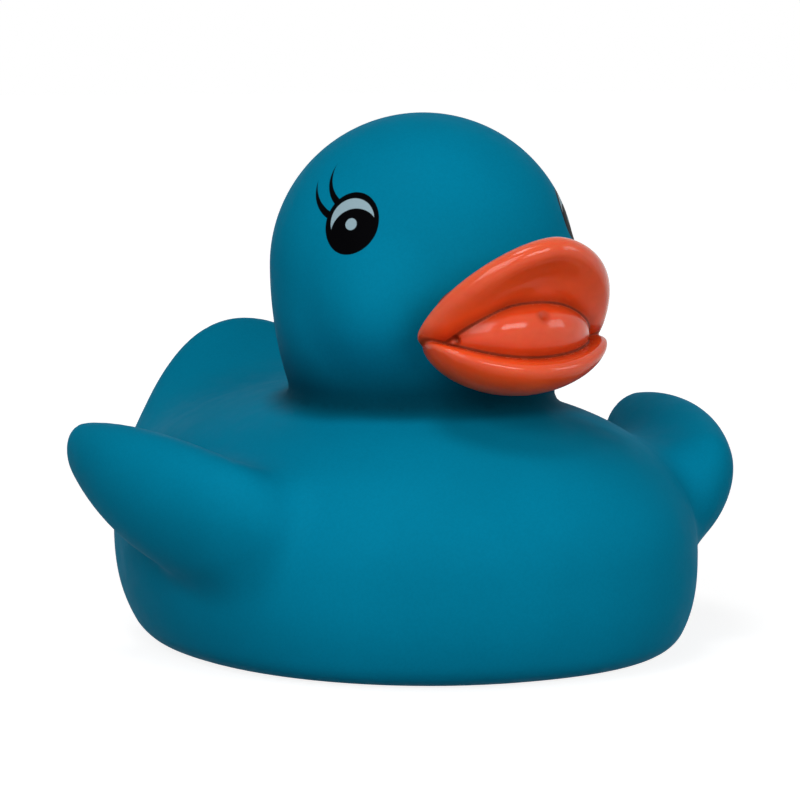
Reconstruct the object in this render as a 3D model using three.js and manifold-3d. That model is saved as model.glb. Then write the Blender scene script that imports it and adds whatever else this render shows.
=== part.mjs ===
// Squeaky bath duck: a hollow soft-vinyl moulding with a whistle pressed into its base.
// Millimetres. Z is up, the beak points to -Y, and X runs to the duck's own left.
// The outer skin is one smooth field (negative inside), blended from a few rounded forms.
// The wall is the same field moved inwards, so the shell is one thickness all over.
import * as THREE from 'three';
import { mergeVertices } from 'three/addons/utils/BufferGeometryUtils.js';
import Module from 'manifold-3d';

// Body: a flat-bottomed tub, an egg in plan and fuller than an ellipse from the side
const BODY_HALF_WIDTH = 34.1;
const BODY_FRONT = 39.2;
const BODY_BACK = 41.5;
const BODY_WIDEST_Z = 12.5;
const BODY_RISE = 20.5;
const BODY_DROP = 21.6;
const BODY_PLAN_FULLNESS = 2.15;
const BODY_TOP_FULLNESS = 2.3;
const BODY_BILGE_FULLNESS = 2.6;
const STERN_LIFT = 5.0;
const BASE_EDGE_BLEND = 3.0;

// Head: wider than it is deep, drawn down into a short thick neck.
// The cheeks are placed by their shares of the head's half sizes.
const HEAD_FORWARD = 4.0;
const HEAD_ABOVE_BODY = 15.2;
const HEAD_HALF_WIDTH = 19.3;
const HEAD_HALF_DEPTH = 18.0;
const HEAD_RISE = 18.8;
const HEAD_DROP = 31.0;
const NECK_BLEND = 3.0;
const CHEEK_ON_HEAD = [0.57, 0.5, -0.23];
const CHEEK_RADIUS = 6.4;
const CHEEK_BLEND = 4.0;

// Tail: a broad flat fan that sweeps up from the back
const TAIL_OVERHANG = 4.9;
const TAIL_ABOVE_BODY = 4.8;
const TAIL_TILT = 61.5;
const TAIL_HALF_WIDTH = 17.5;
const TAIL_HALF_LENGTH = 26.8;
const TAIL_HALF_THICKNESS = 6.4;
const TAIL_EDGE_RADIUS = 1.2;
const TAIL_BLEND = 13.9;

// Wings: flattened tapering paddles, rooted low at the front, with the tips lifted off the body
const WING_ROOT_FORWARD = 15.0;
const WING_ROOT_INSET = 1.7;
const WING_ROOT_RISE = 5.9;
const WING_TIP_FORWARD = -7.4;
const WING_TIP_SPREAD = 5.7;
const WING_TIP_RISE = 12.7;
const WING_ROOT_RADIUS = 8.9;
const WING_MIDDLE_RADIUS = 10.2;
const WING_TIP_RADIUS = 5.0;
const WING_FLATNESS = 0.65;
const WING_LEAN = -0.32;
const WING_BOW = -1.0;
const WING_BLEND = 4.5;

// Upper bill: a sheet that flares forwards and up, with a rolled rim, on a bridge from the head.
// Pairs ending in _AT are distances forward of the head's front and above its middle.
const VISOR_HINGE_AT = [6.2, -9.6];
const VISOR_TILT = 52.6;
const VISOR_HALF_WIDTH = 11.8;
const VISOR_LENGTH = 15.4;
const VISOR_FULLNESS = 1.8;
const VISOR_BEND = 2.2;
const VISOR_CUT_ABOVE_HINGE = 1.4;
const VISOR_CUT_BLEND = 2.0;
const RIM_RADIUS = 1.9;
const RIM_TAPER = 0.35;
const RIM_SETBACK = 1.1;
const PALATE_HALF_THICKNESS = 1.2;
const PALATE_SETBACK = 2.6;
const RIM_BLEND = 2.6;
const BRIDGE_AT = [-2.0, -4.9];
const BRIDGE_SIZE = [8.0, 12.2, 4.2];
const BRIDGE_BLEND = 5.0;

// Lower bill, the mass behind both bills, and the tongue that fills the mouth.
// The bowl is cut below the head's middle by a lip that rises towards its corners.
const BOWL_AT = [4.0, -5.1];
const BOWL_SIZE = [12.9, 11.2, 9.5];
const LIP_DROP = 9.7;
const LIP_CORNER_RISE = 3.9;
const LIP_BLEND = 4.6;
const MUZZLE_AT = [-5.0, -7.9];
const MUZZLE_SIZE = [9.9, 12.0, 4.6];
const MUZZLE_FRONT = 4.0;
const MUZZLE_BLEND = 1.0;
const TONGUE_AT = [2.7, -6.0];
const TONGUE_TILT = 15.0;
const TONGUE_SIZE = [10.2, 7.4, 5.2];

// Moulding and whistle
const WALL = 2.0;
const FIT_GAP = 0.3;
const WHISTLE_FLANGE_RADIUS = 5.7;
const WHISTLE_FLANGE_THICKNESS = 0.8;
const WHISTLE_BARREL_RADIUS = 4.2;
const WHISTLE_LENGTH = 8.5;
const WHISTLE_BEAD = 0.5;
const WHISTLE_AIR_RADIUS = 1.0;
const ROUND_SEGMENTS = 48;

// Facets along and across the body for the skin and for the unseen inside, and across the finer beak
const SKIN_FACETS = 45;
const CAVITY_FACETS = 31;
const BEAK_FACETS = 22;

// Room left round each form when it is divided into facets, in facets
const MARGIN = 2;

const BLUE = new THREE.Color(0x03769a);
const ORANGE = new THREE.Color(0xe8552c);
const WHISTLE_COLOUR = 0xe6e2d6;

// Where the forms meet: each is placed from the one that carries it
const bodyTop = BODY_WIDEST_Z + BODY_RISE;
const headZ = bodyTop + HEAD_ABOVE_BODY;
const headFront = HEAD_FORWARD + HEAD_HALF_DEPTH;
const onFace = ([forward, up]) => [headFront + forward, headZ + up];
const visorHinge = onFace(VISOR_HINGE_AT);
const bridgeMiddle = onFace(BRIDGE_AT);
const bowlMiddle = onFace(BOWL_AT);
const muzzleMiddle = onFace(MUZZLE_AT);
const tongueMiddle = onFace(TONGUE_AT);
const tailTip = [BODY_BACK + TAIL_OVERHANG, bodyTop + TAIL_ABOVE_BODY];

const radians = (degrees) => degrees * Math.PI / 180;

// Joins two fields with a fillet
function blend(a, b, width) {
  const overlap = Math.max(width - Math.abs(a - b), 0) / width;
  return Math.min(a, b) - overlap * overlap * width / 4;
}

// Keeps what is inside both fields, with the shared edge rounded
const trim = (a, b, width) => -blend(-a, -b, width);

function ellipsoid(x, y, z, [rx, ry, rz]) {
  const reach = Math.hypot(x / rx, y / ry, z / rz);
  const slope = Math.hypot(x / rx ** 2, y / ry ** 2, z / rz ** 2);
  return reach * (reach - 1) / Math.max(slope, 1e-6);
}

// A disc of superellipse outline: the distance in its own plane from the outline
function disc(x, y, rx, ry, fullness) {
  const u = Math.abs(x / rx) + 1e-6;
  const v = Math.abs(y / ry) + 1e-6;
  const reach = (u ** fullness + v ** fullness) ** (1 / fullness);
  const slope = reach ** (1 - fullness)
    * Math.hypot(u ** (fullness - 1) / rx, v ** (fullness - 1) / ry);
  return (reach - 1) / Math.max(slope, 1e-3);
}

// Coordinates along and across a line tilted up from the forward direction
function tilted(forward, z, [forward0, z0], tilt) {
  const c = Math.cos(radians(tilt));
  const s = Math.sin(radians(tilt));
  const df = forward - forward0;
  const dz = z - z0;
  return [df * c + dz * s, -df * s + dz * c];
}

function tub(x, forward, z) {
  const length = forward > 0 ? BODY_FRONT : BODY_BACK;
  const astern = THREE.MathUtils.clamp(-forward / BODY_BACK, 0, 1);
  const height = z - BODY_WIDEST_Z - STERN_LIFT * astern ** 2;
  const rz = height > 0 ? BODY_RISE : BODY_DROP;
  const fullness = height > 0 ? BODY_TOP_FULLNESS : BODY_BILGE_FULLNESS;
  const u = Math.abs(x / BODY_HALF_WIDTH) + 1e-6;
  const v = Math.abs(forward / length) + 1e-6;
  const w = Math.abs(height / rz) + 1e-6;
  const plan = (u ** BODY_PLAN_FULLNESS + v ** BODY_PLAN_FULLNESS) ** (1 / BODY_PLAN_FULLNESS);
  const reach = (plan ** fullness + w ** fullness) ** (1 / fullness);
  const across = plan ** (1 - BODY_PLAN_FULLNESS)
    * Math.hypot(u ** (BODY_PLAN_FULLNESS - 1) / BODY_HALF_WIDTH, v ** (BODY_PLAN_FULLNESS - 1) / length);
  const slope = reach ** (1 - fullness)
    * Math.hypot(plan ** (fullness - 1) * across, w ** (fullness - 1) / rz);
  return (reach - 1) / Math.max(slope, 1e-3);
}

function tail(x, forward, z) {
  const [along, across] = tilted(-forward, z, tailTip, TAIL_TILT);
  const halfSizes = [TAIL_HALF_WIDTH, TAIL_HALF_LENGTH, TAIL_HALF_THICKNESS];
  const core = halfSizes.map((size) => size - TAIL_EDGE_RADIUS);
  return ellipsoid(x, along + TAIL_HALF_LENGTH, across, core) - TAIL_EDGE_RADIUS;
}

// The wing's own axes: along it, out of its face, and up its face
const wingRoot = new THREE.Vector3(
  BODY_HALF_WIDTH - WING_ROOT_INSET,
  WING_ROOT_FORWARD,
  BODY_WIDEST_Z + WING_ROOT_RISE,
);
const wingTip = new THREE.Vector3(
  BODY_HALF_WIDTH + WING_TIP_SPREAD,
  WING_TIP_FORWARD,
  BODY_WIDEST_Z + WING_TIP_RISE,
);
const wingSpan = wingTip.clone().sub(wingRoot);
const wingLength = wingSpan.length();
const wingAlong = wingSpan.clone().normalize();
const wingOut = new THREE.Vector3(1, 0, WING_LEAN).projectOnPlane(wingAlong).normalize();
const wingUp = wingOut.clone().cross(wingAlong);

function wing(x, forward, z) {
  const point = new THREE.Vector3(x, forward, z).sub(wingRoot);
  const along = point.dot(wingAlong);
  const bowed = THREE.MathUtils.clamp(along / wingLength, -0.3, 1.2);
  const out = point.dot(wingOut) + WING_BOW * 4 * bowed * (1 - bowed);
  const up = point.dot(wingUp);
  const share = THREE.MathUtils.clamp(along / wingLength, 0, 1);
  const past = along - share * wingLength;
  const radius = WING_ROOT_RADIUS * (1 - share) ** 2 + 2 * WING_MIDDLE_RADIUS * share * (1 - share)
    + WING_TIP_RADIUS * share ** 2;
  const reach = Math.hypot(past, out / WING_FLATNESS, up);
  const slope = Math.hypot(past, out / WING_FLATNESS ** 2, up);
  return reach * (reach - radius) / Math.max(slope, 1e-6);
}

function head(x, forward, z) {
  const ahead = forward - HEAD_FORWARD;
  const height = z - headZ;
  const reach = height > 0 ? HEAD_RISE : HEAD_DROP;
  const skull = ellipsoid(x, ahead, height, [HEAD_HALF_WIDTH, HEAD_HALF_DEPTH, reach]);
  const cheek = Math.hypot(
    x - CHEEK_ON_HEAD[0] * HEAD_HALF_WIDTH,
    ahead - CHEEK_ON_HEAD[1] * HEAD_HALF_DEPTH,
    height - CHEEK_ON_HEAD[2] * HEAD_RISE,
  ) - CHEEK_RADIUS;
  return blend(skull, cheek, CHEEK_BLEND);
}

// The body with its tail, cut flat at the ground
function hull(x, forward, z) {
  const skin = blend(tub(x, forward, z), tail(x, forward, z), TAIL_BLEND);
  return trim(skin, -z, BASE_EDGE_BLEND);
}

// The blue moulding without its beak, its forms joined with fillets
function duck(x, forward, z) {
  const winged = blend(hull(x, forward, z), wing(x, forward, z), WING_BLEND);
  return blend(winged, head(x, forward, z), NECK_BLEND);
}

function upperBill(x, forward, z) {
  const [along, level] = tilted(forward, z, visorHinge, VISOR_TILT);
  const sideways = Math.min(x / VISOR_HALF_WIDTH, 1);
  const behind = level - VISOR_BEND * sideways ** 3;
  const edge = disc(x, along, VISOR_HALF_WIDTH, VISOR_LENGTH, VISOR_FULLNESS);
  const rimRadius = RIM_RADIUS * (1 - RIM_TAPER * sideways ** 4);
  const rim = Math.hypot(edge + rimRadius, behind - RIM_SETBACK) - rimRadius;
  const palate = Math.hypot(Math.max(edge + PALATE_HALF_THICKNESS, 0), behind - PALATE_SETBACK)
    - PALATE_HALF_THICKNESS;
  const bridge = ellipsoid(x, forward - bridgeMiddle[0], z - bridgeMiddle[1], BRIDGE_SIZE);
  const visor = blend(rim, palate, RIM_BLEND);
  const joined = blend(visor, trim(bridge, PALATE_SETBACK - behind, MUZZLE_BLEND), BRIDGE_BLEND);
  const cut = trim(joined, visorHinge[1] + VISOR_CUT_ABOVE_HINGE - z, VISOR_CUT_BLEND);
  const lump = ellipsoid(x, forward - muzzleMiddle[0], z - muzzleMiddle[1], MUZZLE_SIZE);
  const muzzle = trim(lump, forward - headFront - MUZZLE_FRONT, MUZZLE_BLEND);
  return blend(cut, muzzle, MUZZLE_BLEND);
}

function lowerBill(x, forward, z) {
  const bowl = ellipsoid(x, forward - bowlMiddle[0], z - bowlMiddle[1], BOWL_SIZE);
  const lip = headZ - LIP_DROP + LIP_CORNER_RISE * (x / BOWL_SIZE[0]) ** 2;
  return trim(bowl, z - lip, LIP_BLEND);
}

function tongue(x, forward, z) {
  const [along, across] = tilted(forward, z, tongueMiddle, TONGUE_TILT);
  return ellipsoid(x, along, across, TONGUE_SIZE);
}

const beak = (...at) => Math.min(upperBill(...at), lowerBill(...at), tongue(...at));

// Slides a point along the field's slope until it lies on the surface
function settle(field, point, reach) {
  const step = 1e-3;
  const start = point.clone();
  for (let round = 0; round < 6; round += 1) {
    const { x, y, z } = point;
    const value = field(x, y, z);
    const slope = new THREE.Vector3(
      field(x + step, y, z) - field(x - step, y, z),
      field(x, y + step, z) - field(x, y - step, z),
      field(x, y, z + step) - field(x, y, z - step),
    ).divideScalar(2 * step);
    point.addScaledVector(slope, -value / Math.max(slope.lengthSq(), 0.2));
    point.sub(start).clampLength(0, reach).add(start);
  }
  return point;
}

// A grid cell's corners and edges, numbered by their offsets along X, Y and Z.
// Edge 4 * axis + b + 2 * c runs along its axis, at offsets b and c on the two axes that follow it.
const AXES = [0, 1, 2];
const ROUND = [[0, 0], [1, 0], [1, 1], [0, 1]];
const cornerNumber = ([x, y, z]) => x + 2 * y + 4 * z;

function offsets(axis, along, b, c) {
  const offset = [0, 0, 0];
  offset[axis] = along;
  offset[(axis + 1) % 3] = b;
  offset[(axis + 2) % 3] = c;
  return offset;
}

function edgeNumber(from, to) {
  const axis = AXES.find((n) => from[n] !== to[n]);
  return 4 * axis + from[(axis + 1) % 3] + 2 * from[(axis + 2) % 3];
}

// The loops in which the surface crosses a cell's edges, for each pattern of corners inside it.
// On a face that it crosses twice, each inside corner is kept apart, so neighbouring cells agree.
const loopsOfPattern = new Map();

function crossingLoops(pattern) {
  if (loopsOfPattern.has(pattern)) {
    return loopsOfPattern.get(pattern);
  }
  const isInside = (corner) => (pattern >> cornerNumber(corner)) & 1;
  const linked = new Map();
  const link = (a, b) => linked.set(a, [...(linked.get(a) ?? []), b]);
  for (const axis of AXES) {
    for (const side of [0, 1]) {
      const face = ROUND.map(([b, c]) => offsets(axis, side, b, c));
      for (let n = 0; n < 4; n += 1) {
        if (isInside(face[n]) && !isInside(face[(n + 3) % 4])) {
          let last = n;
          while (isInside(face[(last + 1) % 4])) {
            last += 1;
          }
          const enters = edgeNumber(face[(n + 3) % 4], face[n]);
          const leaves = edgeNumber(face[last % 4], face[(last + 1) % 4]);
          link(enters, leaves);
          link(leaves, enters);
        }
      }
    }
  }
  const loops = [];
  const seen = new Set();
  for (const first of linked.keys()) {
    const loop = [];
    const waiting = [first];
    while (waiting.length > 0) {
      const edge = waiting.pop();
      if (!seen.has(edge)) {
        seen.add(edge);
        loop.push(edge);
        waiting.push(...linked.get(edge));
      }
    }
    if (loop.length > 0) {
      loops.push(loop);
    }
  }
  loopsOfPattern.set(pattern, loops);
  return loops;
}

// The triangles of the largest connected shell, without specks that a thin edge can leave beside it
function largestShell(triangles) {
  const parent = new Map();
  const rootOf = (vertex) => {
    let root = vertex;
    while (parent.has(root)) {
      root = parent.get(root);
    }
    return root;
  };
  for (let n = 0; n < triangles.length; n += 3) {
    for (const other of [triangles[n + 1], triangles[n + 2]]) {
      const [from, to] = [rootOf(triangles[n]), rootOf(other)];
      if (from !== to) {
        parent.set(Math.max(from, to), Math.min(from, to));
      }
    }
  }
  const sizes = new Map();
  const roots = triangles.map(rootOf);
  roots.forEach((root) => sizes.set(root, (sizes.get(root) ?? 0) + 1));
  const [largest] = [...sizes.entries()].sort((a, b) => b[1] - a[1])[0];
  return triangles.filter((_, n) => roots[n] === largest);
}

// Dual contouring of a form in a box round it: a vertex for each loop in a cell, a quad for each
// crossed edge. A form is a field of distance sideways, forwards and up, alike on both sides.
function polygonise(form, [low, high], facet) {
  const field = (x, y, z) => form(Math.abs(x), -y, z);
  const counts = AXES.map((n) => Math.ceil((high[n] - low[n]) / facet) + 1 + 2 * MARGIN);
  const origin = AXES.map((n) => (low[n] + high[n] - (counts[n] - 1) * facet) / 2);
  const number = (cell) => (cell[2] * counts[1] + cell[1]) * counts[0] + cell[0];
  const place = (cell) => new THREE.Vector3(...AXES.map((n) => origin[n] + cell[n] * facet));
  const shifted = (cell, offset, sign) => AXES.map((n) => cell[n] + sign * offset[n]);
  const cells = [];
  for (let k = 0; k < counts[2]; k += 1) {
    for (let j = 0; j < counts[1]; j += 1) {
      for (let i = 0; i < counts[0]; i += 1) {
        cells.push([i, j, k]);
      }
    }
  }
  const values = cells.map((cell) => field(...place(cell).toArray()));

  const vertices = [];
  const vertexAt = new Map();
  for (const cell of cells.filter((one) => AXES.every((n) => one[n] < counts[n] - 1))) {
    const valueAt = (offset) => values[number(shifted(cell, offset, 1))];
    let pattern = 0;
    for (let corner = 0; corner < 8; corner += 1) {
      pattern |= (valueAt([corner & 1, (corner >> 1) & 1, corner >> 2]) < 0) << corner;
    }
    for (const loop of crossingLoops(pattern)) {
      const middle = new THREE.Vector3();
      for (const edge of loop) {
        const axis = edge >> 2;
        const ends = [0, 1].map((along) => offsets(axis, along, edge & 1, (edge >> 1) & 1));
        const [a, b] = ends.map(valueAt);
        const [start, end] = ends.map((offset) => place(shifted(cell, offset, 1)));
        middle.add(start.lerp(end, a / (a - b)));
        vertexAt.set(12 * number(cell) + edge, vertices.length);
      }
      vertices.push(settle(field, middle.divideScalar(loop.length), facet / 2));
    }
  }

  const triangles = [];
  for (const cell of cells.filter((one) => AXES.every((n) => one[n] > 0 && one[n] < counts[n] - 1))) {
    for (const axis of AXES) {
      const inside = values[number(cell)] < 0;
      const beyond = values[number(shifted(cell, offsets(axis, 1, 0, 0), 1))] < 0;
      if (inside !== beyond) {
        const quad = ROUND.map(([b, c]) => {
          const neighbour = number(shifted(cell, offsets(axis, 0, b, c), -1));
          return vertexAt.get(12 * neighbour + 4 * axis + b + 2 * c);
        });
        const [a, b, c, d] = inside ? quad : quad.reverse();
        const acrossAC = vertices[a].distanceTo(vertices[c]) < vertices[b].distanceTo(vertices[d]);
        triangles.push(...(acrossAC ? [a, b, c, a, c, d] : [a, b, d, b, c, d]));
      }
    }
  }
  return { points: vertices.flatMap((vertex) => vertex.toArray()), triangles: largestShell(triangles) };
}

const wasm = await Module();
wasm.setup();

function solidOf({ points, triangles }) {
  return new wasm.Manifold(new wasm.Mesh({
    numProp: 3,
    vertProperties: new Float32Array(points),
    triVerts: new Uint32Array(triangles),
  }));
}

// Turns a closed half-profile of [radius, height] points about the Z axis
function turned(profile) {
  const outline = profile.map(([radius, height]) => new THREE.Vector2(radius, height));
  const lathe = new THREE.LatheGeometry(outline, ROUND_SEGMENTS);
  lathe.rotateX(Math.PI / 2);
  return lathe;
}

// The bare points and triangles of a geometry, with its seam closed
function weldedMeshOf(geometry) {
  const bare = geometry.clone();
  bare.deleteAttribute('normal');
  bare.deleteAttribute('uv');
  const welded = mergeVertices(bare, 1e-4);
  return { points: welded.getAttribute('position').array, triangles: welded.index.array };
}

function geometryOf(solid) {
  const mesh = solid.getMesh();
  const geometry = new THREE.BufferGeometry();
  geometry.setAttribute('position', new THREE.BufferAttribute(new Float32Array(mesh.vertProperties), 3));
  geometry.setIndex(new THREE.BufferAttribute(new Uint32Array(mesh.triVerts), 1));
  return geometry;
}

// Where the whistle's faces lie, measured up from the base
const flangeBottom = FIT_GAP;
const flangeTop = flangeBottom + WHISTLE_FLANGE_THICKNESS;
const bossTop = flangeTop + FIT_GAP + WALL;
const beadBottom = bossTop + FIT_GAP;
const beadTop = beadBottom + 2 * WHISTLE_BEAD;
const whistleTop = flangeBottom + WHISTLE_LENGTH;

// The boss that thickens the base round the whistle, and the stepped hole through both
function bossAndHole() {
  const recessRadius = WHISTLE_FLANGE_RADIUS + FIT_GAP;
  const boreRadius = WHISTLE_BARREL_RADIUS + FIT_GAP;
  const bossRadius = recessRadius + WALL;
  const margin = 1;
  const boss = turned([[0, -margin], [bossRadius, -margin], [bossRadius, bossTop], [0, bossTop]]);
  const hole = turned([
    [0, -margin],
    [recessRadius, -margin],
    [recessRadius, flangeTop + FIT_GAP],
    [boreRadius, flangeTop + FIT_GAP],
    [boreRadius, bossTop + margin],
    [0, bossTop + margin],
  ]);
  return [boss, hole].map((geometry) => solidOf(weldedMeshOf(geometry)));
}

function moulding() {
  const girth = BODY_FRONT + BODY_BACK + 2 * BODY_HALF_WIDTH;
  const facet = girth / SKIN_FACETS;
  const solidIn = (form, low, high, size) => solidOf(polygonise(form, [low, high], size));

  const tailEnd = [BODY_HALF_WIDTH, tailTip[0], tailTip[1]];
  const body = solidIn(hull, [-BODY_HALF_WIDTH, -BODY_FRONT, 0], tailEnd, facet);

  const headTop = headZ + HEAD_RISE;
  const headLow = [-HEAD_HALF_WIDTH, -headFront, headZ - HEAD_DROP];
  const headHigh = [HEAD_HALF_WIDTH, HEAD_HALF_DEPTH - HEAD_FORWARD, headTop];
  const ball = solidIn(head, headLow, headHigh, facet);

  const wingLow = [
    wingRoot.x - WING_ROOT_RADIUS,
    -WING_ROOT_FORWARD - WING_ROOT_RADIUS,
    wingRoot.z - WING_ROOT_RADIUS,
  ];
  const wingHigh = [
    wingTip.x + WING_MIDDLE_RADIUS,
    WING_MIDDLE_RADIUS - WING_TIP_FORWARD,
    wingTip.z + WING_MIDDLE_RADIUS,
  ];
  const leftWing = solidIn(wing, wingLow, wingHigh, facet);
  const blue = body.add(ball).add(leftWing).add(leftWing.mirror([1, 0, 0]));

  const halfBeak = Math.max(VISOR_HALF_WIDTH, BOWL_SIZE[0]);
  const beakFront = Math.max(visorHinge[0] + VISOR_LENGTH, bowlMiddle[0] + BOWL_SIZE[1]);
  const beakLow = [-halfBeak, -beakFront, bowlMiddle[1] - BOWL_SIZE[2]];
  const beakHigh = [halfBeak, MUZZLE_SIZE[1] - muzzleMiddle[0], visorHinge[1] + VISOR_LENGTH];
  const [upper, lower, tip] = [upperBill, lowerBill, tongue].map(
    (form) => solidIn(form, beakLow, beakHigh, 2 * halfBeak / BEAK_FACETS),
  );
  const skin = blue.add(upper).add(lower).add(tip);

  const inside = (x, forward, z) => duck(x, forward, z) + WALL;
  const cavityLow = [-wingHigh[0], -BODY_FRONT, 0];
  const cavityHigh = [wingHigh[0], tailTip[0], headTop];
  const cavity = solidIn(inside, cavityLow, cavityHigh, girth / CAVITY_FACETS);
  const [boss, hole] = bossAndHole();
  return skin.subtract(cavity.subtract(boss)).subtract(hole);
}

// Blue vinyl with orange paint on the beak
function paint(geometry) {
  const position = geometry.getAttribute('position');
  const colours = [];
  for (let i = 0; i < position.count; i += 1) {
    const at = [Math.abs(position.getX(i)), -position.getY(i), position.getZ(i)];
    const painted = beak(...at) < duck(...at) && at[2] > WALL;
    colours.push(...(painted ? ORANGE : BLUE).toArray());
  }
  geometry.setAttribute('color', new THREE.Float32BufferAttribute(colours, 3));
}

function makeDuckBody() {
  const geometry = geometryOf(moulding());
  paint(geometry);
  geometry.computeVertexNormals();
  const material = new THREE.MeshStandardMaterial({ vertexColors: true, roughness: 0.5, metalness: 0 });
  const mesh = new THREE.Mesh(geometry, material);
  mesh.name = 'duck_body';
  return mesh;
}

// A flanged tube: the bead on its barrel snaps past the boss and holds it in
function makeWhistle() {
  const beadRadius = WHISTLE_BARREL_RADIUS + WHISTLE_BEAD;
  const geometry = turned([
    [WHISTLE_AIR_RADIUS, flangeBottom],
    [WHISTLE_FLANGE_RADIUS, flangeBottom],
    [WHISTLE_FLANGE_RADIUS, flangeTop],
    [WHISTLE_BARREL_RADIUS, flangeTop],
    [WHISTLE_BARREL_RADIUS, beadBottom],
    [beadRadius, beadBottom + WHISTLE_BEAD],
    [WHISTLE_BARREL_RADIUS, beadTop + WHISTLE_BEAD],
    [WHISTLE_BARREL_RADIUS, whistleTop],
    [WHISTLE_AIR_RADIUS, whistleTop],
    [WHISTLE_AIR_RADIUS, flangeBottom],
  ]);
  const material = new THREE.MeshStandardMaterial({ color: WHISTLE_COLOUR, roughness: 0.45, metalness: 0 });
  const mesh = new THREE.Mesh(geometry, material);
  mesh.name = 'whistle';
  return mesh;
}

const duckBody = makeDuckBody();
const toy = new THREE.Group();
toy.name = 'squeaky_duck';
toy.add(duckBody, makeWhistle());

// The origin lies under the middle of the whole duck, on the ground
duckBody.geometry.computeBoundingBox();
toy.position.y = -duckBody.geometry.boundingBox.getCenter(new THREE.Vector3()).y;

export default toy;
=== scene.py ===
"""Looks for the squeaky bath duck: a fine smooth skin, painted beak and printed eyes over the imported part.

Forms are fields (negative inside) of distance sideways, forwards and up, in millimetres from the squeaker's axis
at ground level. They are alike on both sides, so the distance sideways is never negative."""
import math

import bpy
import numpy as np
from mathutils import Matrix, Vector


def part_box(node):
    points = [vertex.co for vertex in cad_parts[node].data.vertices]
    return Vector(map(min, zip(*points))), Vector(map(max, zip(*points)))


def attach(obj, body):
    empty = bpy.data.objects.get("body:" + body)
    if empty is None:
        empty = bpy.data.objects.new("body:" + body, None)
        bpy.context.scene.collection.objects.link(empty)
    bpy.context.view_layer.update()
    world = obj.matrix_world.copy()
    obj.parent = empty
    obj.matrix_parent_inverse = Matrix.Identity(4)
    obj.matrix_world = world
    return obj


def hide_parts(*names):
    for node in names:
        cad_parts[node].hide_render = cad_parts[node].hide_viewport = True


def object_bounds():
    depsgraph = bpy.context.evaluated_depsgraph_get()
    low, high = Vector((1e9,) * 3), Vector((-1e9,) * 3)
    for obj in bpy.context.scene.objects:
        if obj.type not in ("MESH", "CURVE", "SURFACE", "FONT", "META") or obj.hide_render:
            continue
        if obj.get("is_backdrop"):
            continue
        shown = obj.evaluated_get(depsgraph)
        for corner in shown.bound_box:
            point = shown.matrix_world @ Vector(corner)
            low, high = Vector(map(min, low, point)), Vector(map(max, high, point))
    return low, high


MM = 0.001
# Least divisors, so that nothing is divided by zero
TINY = 1e-6
SLOPE_FLOOR = 1e-3

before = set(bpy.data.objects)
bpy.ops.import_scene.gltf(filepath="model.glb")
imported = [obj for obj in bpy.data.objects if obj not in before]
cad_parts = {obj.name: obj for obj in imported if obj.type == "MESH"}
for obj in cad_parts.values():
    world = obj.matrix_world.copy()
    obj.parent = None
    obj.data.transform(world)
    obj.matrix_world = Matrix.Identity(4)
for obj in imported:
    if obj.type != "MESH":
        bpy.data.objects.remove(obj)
loaded_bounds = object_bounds()

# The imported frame: the squeaker's axis is where the fields' sideways and forward distances start
squeaker_low, squeaker_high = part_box("whistle")
ORIGIN_Y = (squeaker_low.y + squeaker_high.y) / 2

# Body
BODY_HALF_WIDTH = 34.1
BODY_FRONT = 39.2
BODY_BACK = 41.5
BODY_WIDEST_Z = 12.5
BODY_RISE = 20.5
BODY_DROP = 21.6
BODY_PLAN_FULLNESS = 2.15
BODY_TOP_FULLNESS = 2.3
BODY_BILGE_FULLNESS = 2.6
STERN_LIFT = 5.0
BASE_EDGE_BLEND = 3.0
BODY_TOP = BODY_WIDEST_Z + BODY_RISE

# Head
HEAD_FORWARD = 4.0
HEAD_Z = BODY_TOP + 15.2
HEAD_HALF_WIDTH = 19.3
HEAD_HALF_DEPTH = 18.0
HEAD_RISE = 18.8
HEAD_DROP = 31.0
HEAD_FRONT = HEAD_FORWARD + HEAD_HALF_DEPTH
NECK_BLEND = 2.4
CHEEK_ON_HEAD = (0.57, 0.5, -0.23)
CHEEK_RADIUS = 6.4
CHEEK_BLEND = 4.0

# Tail: its tip is (backward, up)
TAIL_TIP = (BODY_BACK + 4.9, BODY_TOP + 4.8)
TAIL_TILT = 61.5
TAIL_SIZE = (17.5, 26.8, 6.4)
TAIL_EDGE_RADIUS = 1.2
TAIL_BLEND = 13.9
TAIL_FOOT_Z = 10.0
TAIL_FOOT_BLEND = 8.0

# Wings: root and tip as (sideways, forward, up)
WING_ROOT = np.array([BODY_HALF_WIDTH - 1.6, 13.1, BODY_WIDEST_Z + 6.1])
WING_TIP = np.array([BODY_HALF_WIDTH + 5.3, -7.2, BODY_WIDEST_Z + 12.05])
WING_RADII = (9.15, 10.3, 5.05)
WING_FLATNESS = 0.64
WING_LEAN = -0.45
WING_BOW = -0.65
WING_BOW_SPAN = (-0.3, 1.2)
WING_SHARE_STEPS = 4
# The wing's fillet widens between two heights
WING_BLEND = 3.0
WING_TOP_BLEND = 6.0
WING_BLEND_WIDENS = (15.0, 26.0)

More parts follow.
